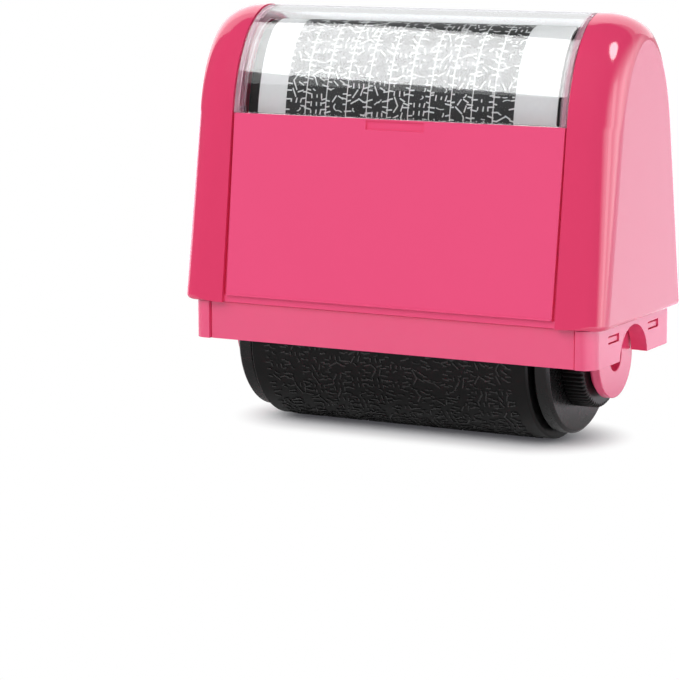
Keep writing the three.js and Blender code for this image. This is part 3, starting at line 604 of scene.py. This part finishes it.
# Two greys that differ at random with the fibres, both far below white as painted shade under the window.
paper_fibres_and_painted_shade = paper.blend(fibres, (0.54, 0.54, 0.54, 1), (0.62, 0.62, 0.62, 1))
connect(paper_fibres_and_painted_shade, paper_shader.inputs["Base Color"])
connect(0.38 + 0.12 * fibres, paper_shader.inputs["Roughness"])
paper_bump = paper.node("Bump", {}, {"Strength": 0.1, "Distance": 0.03 * mm, "Height": fibres})
connect(paper_bump, paper_shader.inputs["Normal"])
label_piece = finished(label, "label", "housing", paper.owner)
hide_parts("label_sheet")


def joined(mesh, addition):
    """Adds one mesh to another and frees it."""
    carried = bpy.data.meshes.new("carried")
    addition.to_mesh(carried)
    addition.free()
    mesh.from_mesh(carried)
    bpy.data.meshes.remove(carried)


def crossing_strokes(field, left, right, length, columns, pitch, weight, rise, sink, seed):
    """Short strokes on a flat field, in columns along Y; they lean, cross and break at random."""
    bows_below, pairs_below, edge_room = 0.45, 0.75, 0.6
    chance = random.Random(seed)
    width = (right - left) / columns
    rows = round(length / pitch)
    step = length / rows

    def stroke(x, y, long, thick, turn):
        form = Matrix.Translation((x, y, (rise - sink) / 2)) @ Matrix.Rotation(turn, 4, "Z")
        bmesh.ops.create_cube(drawn, size=1, matrix=form @ Matrix.Diagonal((long, thick, rise + sink, 1)))

    def bow(x, y, across, along, turn, sweep):
        arc = bmesh.new()
        inside = 1 - weight / across
        section = [(inside, -sink), (1, -sink), (1, rise), (inside, rise)]
        face = arc.faces.new([arc.verts.new((out, 0, up)) for out, up in section])
        bmesh.ops.spin(arc, geom=[face, *face.edges, *face.verts], cent=(0, 0, 0), axis=(0, 0, 1),
                       angle=sweep, steps=8)
        form = Matrix.Translation((x, y, 0)) @ Matrix.Diagonal((across, along, 1, 1))
        bmesh.ops.transform(arc, matrix=form @ Matrix.Rotation(turn, 4, "Z"), verts=arc.verts)
        joined(drawn, arc)

    for column in range(columns):
        drawn = bmesh.new()
        slip = chance.uniform(0, step)
        middle = left + (column + 0.5) * width
        for row in range(rows):
            y = min(max(row * step + slip, step * edge_room), length - step * edge_room)
            kind = chance.random()
            if kind < bows_below:
                bow(middle + chance.uniform(-0.16, 0.16) * width, y, width * chance.uniform(0.18, 0.34),
                    step * chance.uniform(0.36, 0.60), chance.uniform(0, math.tau), chance.uniform(0.9, 1.8))
            elif kind < pairs_below:
                stroke(middle - 0.1 * width, y, width * chance.uniform(0.3, 0.5), weight,
                       chance.choice((0.5, -0.7, 1.0, -1.1)))
                stroke(middle + 0.2 * width, y + 0.2 * step, width * 0.3, weight,
                       chance.choice((0.3, -0.5, 1.3)))
            else:
                for across in (-0.22, 0.04, 0.26):
                    stroke(middle + across * width, y, weight, step * chance.uniform(0.4, 0.75),
                           chance.uniform(-0.25, 0.25))
            for edge in (-1, 1):
                stroke(middle + edge * 0.40 * width, y + chance.uniform(-0.4, 0.4) * step,
                       width * chance.uniform(0.12, 0.36), weight, chance.uniform(-0.3, 0.3))
        joined(field, drawn)


print_left, print_right, print_columns = -20.0, 18.0, 11
stroke_pitch, stroke_weight = 1.15, 0.2
black_share, black_margin, black_sink, black_rise, black_bends = 0.475, 0.3, 0.05, 0.02, 60
gap_rise = 0.035
label_seed = 7
measure = bmesh.new()
label_crown = arch_line(measure, *label_form, label_base, segments=512)
feet = [vert for vert in measure.verts if len(vert.link_edges) == 1]
walk, came_by = [min(feet, key=lambda vert: vert.co.y)], None
while True:
    onward = [edge for edge in walk[-1].link_edges if edge is not came_by]
    if not onward:
        break
    came_by = onward[0]
    walk.append(came_by.other_vert(walk[-1]))
arch_points = [vert.co.copy() for vert in walk]
measure.free()
arch_run = [0.0]
for here, there in zip(arch_points, arch_points[1:]):
    arch_run.append(arch_run[-1] + (there - here).length)
label_length = arch_run[-1]


def on_arch(x, along, rise):
    """Where a place on the flat label comes to lie once the label is wrapped over the carrier."""
    along = min(max(along, 0.0), label_length)
    after = max(bisect.bisect_left(arch_run, along), 1)
    share = (along - arch_run[after - 1]) / (arch_run[after] - arch_run[after - 1])
    point = arch_points[after - 1].lerp(arch_points[after], share)
    point += outward(label_crown, point.y, point.z) * rise
    return Vector((x, point.y, point.z))


def sliced(mesh, place, normal):
    """Adds a line of edges where a plane crosses the mesh."""
    bmesh.ops.bisect_plane(
        mesh, geom=[*mesh.verts, *mesh.edges, *mesh.faces], plane_co=place, plane_no=normal)


label_print, label_gaps = bmesh.new(), bmesh.new()
column_pitch = (print_right - print_left) / print_columns
for column in range(print_columns):
    black = bmesh.new()
    middle = print_left + (column + 0.5) * column_pitch
    bar(black, (middle - black_share * column_pitch, black_margin, -black_sink),
        (middle + black_share * column_pitch, label_length - black_margin, black_rise))
    for cut in range(1, black_bends):
        sliced(black, (0, label_length * cut / black_bends, 0), (0, 1, 0))
    joined(label_print, black)
crossing_strokes(label_gaps, print_left, print_right, label_length, print_columns, stroke_pitch,
                 stroke_weight, gap_rise, black_sink, label_seed)
for printed in (label_print, label_gaps):
    for vert in printed.verts:
        vert.co = on_arch(*vert.co)
    bmesh.ops.recalc_face_normals(printed, faces=printed.faces)
ink = Finish(bpy.data.materials.new("printed_ink"))
ink_shader = ink.tree.nodes["Principled BSDF"]
ink_shader.inputs["Specular IOR Level"].default_value = 0.3
ink_at = ink.node("TexCoord", {}, {}, "Object")
ink_spread = ink.node("TexNoise", {}, {"Vector": ink_at, "Scale": 2200.0, "Detail": 3.0})
ink_tone = ink.blend(ink_spread, (0.006, 0.006, 0.007, 1), (0.022, 0.022, 0.022, 1))
connect(ink_tone, ink_shader.inputs["Base Color"])
connect(0.34 + 0.14 * ink_spread, ink_shader.inputs["Roughness"])
finished(label_print, "label_print", "housing", ink.owner)
finished(label_gaps, "label_gaps", "housing", paper.owner)


# The label carrier is a black arched moulding that stands on the hood's ledges and shows beyond
# both ends of the label. Lugs at its feet reach the cheeks, and webs stiffen its inside.

carrier_base, carrier_half, carrier_set_back, carrier_wall = 42.5, 26.6, 0.37, 1.2
lug_height, web_half, web_depth, web_root = 1.8, 0.5, 1, 0.1
stiffened_at = (-16, 0, 16)


def dark_moulding(name, roughness, relief, specular=0.5, shade=1.0):
    """Black moulded plastic or rubber, slightly uneven in gloss."""
    finish = Finish(bpy.data.materials.new(name))
    at = finish.node("TexCoord", {}, {}, "Object")
    grain = finish.node("TexNoise", {}, {"Vector": at, "Scale": 1300.0, "Detail": 4.0, "Roughness": 0.65})
    dust = finish.node("TexNoise", {}, {"Vector": at, "Scale": 90.0, "Detail": 3.0})
    shader = finish.tree.nodes["Principled BSDF"]
    darker, lighter = ((shade * grey, shade * grey, shade * grey, 1) for grey in (0.004, 0.009))
    connect(finish.blend(dust, darker, lighter), shader.inputs["Base Color"])
    shader.inputs["Specular IOR Level"].default_value = specular
    connect(roughness + 0.16 * (grain - 0.5) + 0.1 * (dust - 0.5), shader.inputs["Roughness"])
    bump = finish.node("Bump", {}, {"Strength": relief, "Distance": 0.05 * mm, "Height": grain})
    connect(bump, shader.inputs["Normal"])
    return finish.owner


satin_black = dark_moulding("satin_black", 0.34, 0.2, specular=0.3)
carrier = bmesh.new()
inside = carrier_set_back + carrier_wall
arched(carrier, label_form, carrier_base, [
    (-carrier_half, carrier_set_back), (carrier_half, carrier_set_back), (carrier_half, inside),
    (-carrier_half, inside)])
web = bmesh.new()
arched(web, label_form, carrier_base + lug_height, [
    (-web_half, inside - web_root), (web_half, inside - web_root), (web_half, inside + web_depth),
    (-web_half, inside + web_depth)])
for x in stiffened_at:
    copied = web.copy()
    bmesh.ops.translate(copied, verts=copied.verts, vec=(x, 0, 0))
    joined(carrier, copied)
web.free()
foot_y = panel_wall(carrier_base) - label_set_back - carrier_set_back
for side in (-1, 1):
    y = sorted((side * foot_y, side * (foot_y - carrier_wall)))
    bar(carrier, (-window_end, y[0], carrier_base), (window_end, y[1], carrier_base + lug_height))
carrier_piece = finished(carrier, "label_arch", "housing", satin_black, bevel=0.12)
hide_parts("label_carrier")


# The lower frame is a satin pink moulding that snaps up into the hood: a band with proud corner
# columns, a collar and roof that stay hidden, and at each end an arch over the roller's journal and
# two small windows through which the bracket's hooks show.

axle = 13.0
band_half_x, band_half_y = 33.3, 14.55
band_bottom, band_top, band_wall, band_corner, room_corner = 13.3, 19.0, 1.2, 2.2, 1.0
band_set_back, column_width = 0.35, 2.9
seam_depth, seam_middle, seam_edge, seam_near = 0.3, 0.08, 0.3, 0.02
arch_radius, arch_rim = 5.05, 0.9
hook_place, hook_half, hook_low, hook_high, hook_play = 7.3, 1.8, 16.5, 17.5, 0.1
bracket_inside, bracket_outside = 29.2, 30.5
overrun = 2


def rounded_block(mesh, half_x, half_y, low, high, corner):
    made = bar(mesh, (-half_x, -half_y, low), (half_x, half_y, high))
    upright = [edge for edge in {edge for vert in made for edge in vert.link_edges}
               if abs(edge.verts[0].co.z - edge.verts[1].co.z) > touching]
    bmesh.ops.bevel(mesh, geom=upright, offset=corner, offset_type="OFFSET", segments=10, profile=0.5,
                    affect="EDGES", material=-1)


def turned(mesh, profile, segments=96, sweep=math.tau, start=0.0, middle=0.0):
    """A closed profile of (x, radius) pairs, spun about the axle."""
    points = [mesh.verts.new((x + middle, radius * math.sin(start), axle + radius * math.cos(start)))
              for x, radius in profile]
    if sweep < math.tau:
        face = mesh.faces.new(points)
        bmesh.ops.spin(mesh, geom=[face, *face.edges, *points], cent=(0, 0, axle), axis=(-1, 0, 0),
                       angle=sweep, steps=segments)
        return
    edges = [mesh.edges.new(pair) for pair in zip(points, points[1:] + points[:1])]
    bmesh.ops.spin(mesh, geom=points + edges, cent=(0, 0, axle), axis=(1, 0, 0), angle=sweep,
                   steps=segments, use_merge=True)


band = bmesh.new()
rounded_block(band, band_half_x, band_half_y, band_bottom, band_top, band_corner)
column_edge = band_half_x - column_width
for x in (column_edge, column_edge - seam_middle, column_edge - seam_edge):
    for cut_x in (-x, x):
        sliced(band, (cut_x, 0, 0), (1, 0, 0))
for vert in band.verts:
    if abs(vert.co.x) < column_edge - seam_near and abs(vert.co.y) > band_half_y - touching:
        in_seam = abs(abs(vert.co.x) - column_edge + seam_middle) < seam_near
        vert.co.y -= math.copysign(band_set_back + (seam_depth if in_seam else 0), vert.co.y)
room = bmesh.new()
rounded_block(room, band_half_x - band_wall, band_half_y - band_wall, band_bottom - overrun,
              band_top + overrun, room_corner)
past_end = band_half_x + overrun
along_axle = Matrix.Translation((0, 0, axle)) @ Matrix.Rotation(math.pi / 2, 4, "Y")
arch = bmesh.new()
bmesh.ops.create_cone(arch, cap_ends=True, segments=96, radius1=arch_radius, radius2=arch_radius,
                      depth=2 * past_end, matrix=along_axle)
hook_windows = []
for side in (-1, 1):
    opening = bmesh.new()
    bar(opening, (-past_end, side * hook_place - hook_half - hook_play, hook_low - hook_play),
        (past_end, side * hook_place + hook_half + hook_play, hook_high + hook_play))
    hook_windows.append(opening)
cut_out(band, [room, arch, *hook_windows])
band_piece = finished(band, "lower_band", "housing", frame_pink, bevel=0.13)
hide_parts("skirt_frame")

collar_half_x, collar_half_y, collar_upper_half_y, collar_top = 32.55, 13.42, 12.28, 28.4
hollow_half_x, hollow_half_y, hollow_upper_half_y, hollow_top = 31.65, 12.52, 11.4, 27.2
hollow_corner, collar_overlap = 1.3, 0.6
roof_rib_half, roof_rib_reach, roof_rib_low, roof_rib_high = 0.5, 10.5, 27.6, 28.75
rim_inside, rim_outside, rim_sweep = 30.7, 32.2, 173
rail_inside, rail_outside, rail_low, rail_high = 9.5, 10.4, 19.6, 27.8
rail_start, rail_end, lip_start, lip_end, lip_inside, lip_outside = 28.1, 32.1, 28.2, 29.0, 8.4, 9.7
lip_short = 0.1
collar = bmesh.new()
rounded_block(collar, collar_half_x, collar_half_y, band_top - collar_overlap, collar_top, band_corner)
hollow = bmesh.new()
rounded_block(hollow, hollow_half_x, hollow_half_y, band_top - overrun, hollow_top, hollow_corner)
for block, drawn_in in ((collar, collar_upper_half_y / collar_half_y),
                        (hollow, hollow_upper_half_y / hollow_half_y)):
    for vert in block.verts:
        if vert.co.z > band_top:
            vert.co.y *= drawn_in
cut_out(collar, [hollow])
for x in stiffened_at:
    bar(collar, (x - roof_rib_half, -roof_rib_reach, roof_rib_low),
        (x + roof_rib_half, roof_rib_reach, roof_rib_high))
for side in (-1, 1):
    turned(collar, [(side * rim_inside, arch_radius), (side * rim_inside, arch_radius + arch_rim),
                    (side * rim_outside, arch_radius + arch_rim), (side * rim_outside, arch_radius)],
           segments=48, sweep=math.radians(rim_sweep), start=math.radians(-rim_sweep / 2))
    for face in (-1, 1):
        rail_x = sorted((side * rail_start, side * rail_end))
        rail_y = sorted((face * rail_inside, face * rail_outside))
        lip_x = sorted((side * lip_start, side * lip_end))
        lip_y = sorted((face * lip_inside, face * lip_outside))
        bar(collar, (rail_x[0], rail_y[0], rail_low), (rail_x[1], rail_y[1], rail_high))
        bar(collar, (lip_x[0], lip_y[0], rail_low + lip_short), (lip_x[1], lip_y[1], rail_high - lip_short))
bmesh.ops.recalc_face_normals(collar, faces=collar.faces)
collar_piece = finished(collar, "frame_collar", "housing", frame_pink, bevel=0.1, segments=2)
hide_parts("skirt_frame")


# A side bracket at each end is clipped into the frame: an ear with a raised boss behind it and a
# hollow journal that the roller turns on, an arm, a crossbar, and two hooks in the frame's windows.

ear_radius, boss_radius, boss_face = 6.1, 5.6, 28.75
journal_radius, journal_bore, journal_tip, journal_lead = 3.0, 2.1, 23.8, 0.4
crossbar_half, crossbar_low, crossbar_high = 9.3, 19.6, 27.0
arm_half, root_overlap, hook_tip, hook_tip_top, boss_overlap = 3.4, 1.3, 33.1, 17.35, 0.6


def at_other_end(mesh):
    """Turns a piece that is made for the right end round to the left end."""
    bmesh.ops.rotate(mesh, cent=(0, 0, 0), matrix=Matrix.Rotation(math.pi, 3, "Z"), verts=mesh.verts)


for side, end in ((1, "right"), (-1, "left")):
    bracket = bmesh.new()
    bar(bracket, (bracket_inside, -arm_half, axle + boss_radius / 2),
        (bracket_outside, arm_half, crossbar_low + root_overlap))
    bar(bracket, (bracket_inside, -crossbar_half, crossbar_low),
        (bracket_outside, crossbar_half, crossbar_high))
    for face in (-1, 1):
        hook_start = face * hook_place - hook_half
        hook_root = crossbar_low + root_overlap
        hook = [(bracket_inside, hook_low), (hook_tip, hook_low), (hook_tip, hook_tip_top),
                (bracket_outside, hook_high), (bracket_outside, hook_root), (bracket_inside, hook_root)]
        prism(bracket, [(x, hook_start, z) for x, z in hook], (0, 2 * hook_half, 0))
    boss_root = bracket_inside + boss_overlap
    turned(bracket, [(bracket_inside, journal_bore), (bracket_inside, ear_radius),
                     (bracket_outside, ear_radius), (bracket_outside, journal_bore)])
    turned(bracket, [(boss_face, journal_bore), (boss_face, boss_radius), (boss_root, boss_radius),
                     (boss_root, journal_bore)])
    turned(bracket, [(journal_tip, journal_bore), (journal_tip, journal_radius - journal_lead),
                     (journal_tip + journal_lead, journal_radius), (boss_root, journal_radius),
                     (boss_root, journal_bore)], segments=64)
    bmesh.ops.recalc_face_normals(bracket, faces=bracket.faces)
    if side < 0:
        at_other_end(bracket)
    bracket_piece = finished(
        bracket, end + "_ear", "housing", frame_pink, bevel=0.12, segments=2)
    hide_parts(end + "_side_bracket")


# The roller's sleeve is porous black rubber with the masking pattern raised on it and a smooth
# band at each end. It lies one millimetre to the left of the middle.

roller_shift = -1.0
sleeve_half, sleeve_radius, sleeve_bore, sleeve_corner = 23.1, 12.88, 10.2, 0.3
relief_half, relief_columns, relief_pitch_share, relief_rise, relief_root = 20.5, 12, 0.9, 0.12, 0.20
relief_seed = 3
sleeve = bmesh.new()
turned(sleeve, [(-sleeve_half, sleeve_bore), (-sleeve_half, sleeve_radius - sleeve_corner),
                (sleeve_corner - sleeve_half, sleeve_radius), (sleeve_half - sleeve_corner, sleeve_radius),
                (sleeve_half, sleeve_radius - sleeve_corner), (sleeve_half, sleeve_bore)],
       segments=160, middle=roller_shift)
bmesh.ops.recalc_face_normals(sleeve, faces=sleeve.faces)
porous = dark_moulding("porous_rubber", 0.34, 0.3, specular=0.2, shade=0.6)
sleeve_piece = finished(sleeve, "printing_sleeve", "roller", porous, bevel=0.1)
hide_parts("print_sleeve")

relief = bmesh.new()
crossing_strokes(relief, -relief_half, relief_half, math.tau * sleeve_radius, relief_columns,
                 stroke_pitch * relief_pitch_share, stroke_weight, relief_rise, relief_root, relief_seed)
for vert in relief.verts:
    x, along, rise = vert.co
    angle, radius = along / sleeve_radius, sleeve_radius + rise
    vert.co = (x + roller_shift, radius * math.sin(angle), axle + radius * math.cos(angle))
bmesh.ops.recalc_face_normals(relief, faces=relief.faces)
# The raised strokes are coloured lighter than the sleeve: a painted highlight for the light their edges
# catch.
raised_pattern_painted_highlight = dark_moulding("raised_rubber_painted_highlight", 0.26, 0.3, shade=2.6)
finished(relief, "raised_pattern", "roller", raised_pattern_painted_highlight)


# A black end flange closes each end of the sleeve, beyond a narrow groove, and outside it a
# toothed thumb wheel turns with the roller on the bracket's journal.

flange_inside, flange_outside, flange_radius, flange_bore = 23.5, 26.0, 11.8, 4.95
flange_tip, flange_plug, flange_inner_corner, flange_outer_corner = 20.4, 7.3, 0.3, 0.4
wheel_radius, wheel_outside, wheel_bore, wheel_corner, wheel_play = 7.7, 28.5, 3.25, 0.35, 0.2
wheel_teeth, tooth_depth, tooth_steps, toothed_beyond = 66, 0.4, 4, wheel_bore + 1
spigot_radius, spigot_bore, spigot_tip, spigot_root = 4.75, 3.8, 21.15, 0.5
smooth_black = dark_moulding("smooth_black", 0.26, 0.1, specular=0.36)
for side, end in ((1, "right"), (-1, "left")):
    flange = bmesh.new()
    turned(flange, [(flange_tip, flange_bore), (flange_tip, flange_plug), (flange_inside, flange_plug),
                    (flange_inside, flange_radius - flange_inner_corner),
                    (flange_inside + flange_inner_corner, flange_radius),
                    (flange_outside - flange_outer_corner, flange_radius),
                    (flange_outside, flange_radius - flange_outer_corner), (flange_outside, flange_bore)],
           segments=128)
    bmesh.ops.recalc_face_normals(flange, faces=flange.faces)
    if side < 0:
        at_other_end(flange)
    bmesh.ops.translate(flange, verts=flange.verts, vec=(roller_shift, 0, 0))
    flange_piece = finished(flange, end + "_flange", "roller", smooth_black, bevel=0.1)
    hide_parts(end + "_end_flange")

    wheel = bmesh.new()
    wheel_inside = flange_outside + side * roller_shift + wheel_play
    turned(wheel, [(wheel_inside, wheel_bore), (wheel_inside, wheel_radius),
                   (wheel_outside - wheel_corner, wheel_radius),
                   (wheel_outside, wheel_radius - wheel_corner), (wheel_outside, wheel_bore)],
           segments=wheel_teeth * tooth_steps)
    for vert in wheel.verts:
        up = vert.co.z - axle
        step = round(math.atan2(vert.co.y, up) / math.tau * wheel_teeth * tooth_steps) % tooth_steps
        if math.hypot(vert.co.y, up) > toothed_beyond and step < tooth_steps / 2:
            drawn = 1 - tooth_depth / wheel_radius
            vert.co.y *= drawn
            vert.co.z = axle + up * drawn
    turned(wheel, [(spigot_tip, spigot_bore), (spigot_tip, spigot_radius),
                   (wheel_inside + spigot_root, spigot_radius),
                   (wheel_inside + spigot_root, spigot_bore)], segments=64)
    bmesh.ops.recalc_face_normals(wheel, faces=wheel.faces)
    if side < 0:
        at_other_end(wheel)
    wheel_piece = finished(
        wheel, end + "_wheel", "roller", satin_black, bevel=0.08, segments=2)
    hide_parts(end + "_thumb_wheel")


# Inside the roller the drawn parts stay as they are: a felt charge in a pierced core, a feed layer
# under the sleeve, rubber rings in the flanges and wheels, and a soft plug for the refill needle.

seal_black = dark_moulding("seal_rubber", 0.62, 0.3)
felt = Finish(bpy.data.materials.new("inked_felt"))
felt_shader = felt.tree.nodes["Principled BSDF"]
felt_at = felt.node("TexCoord", {}, {}, "Object")
tangle = felt.node("TexNoise", {}, {"Vector": felt_at, "Scale": 3200.0, "Detail": 6.0, "Roughness": 0.8})
felt_tone = felt.blend(tangle, (0.006, 0.006, 0.010, 1), (0.05, 0.05, 0.06, 1))
connect(felt_tone, felt_shader.inputs["Base Color"])
connect(0.78 + 0.2 * tangle, felt_shader.inputs["Roughness"])
felt_bump = felt.node("Bump", {}, {"Strength": 0.6, "Distance": 0.1 * mm, "Height": tangle})
connect(felt_bump, felt_shader.inputs["Normal"])
inner_finishes = {
    "feed_layer": felt.owner, "ink_felt": felt.owner, "roller_core": satin_black,
    "left_flange_seal": seal_black, "right_flange_seal": seal_black, "left_hub_seal": seal_black,
    "right_hub_seal": seal_black, "left_refill_septum": seal_black, "right_refill_septum": seal_black}
for name, finish in inner_finishes.items():
    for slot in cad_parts[name].material_slots:
        slot.material = finish
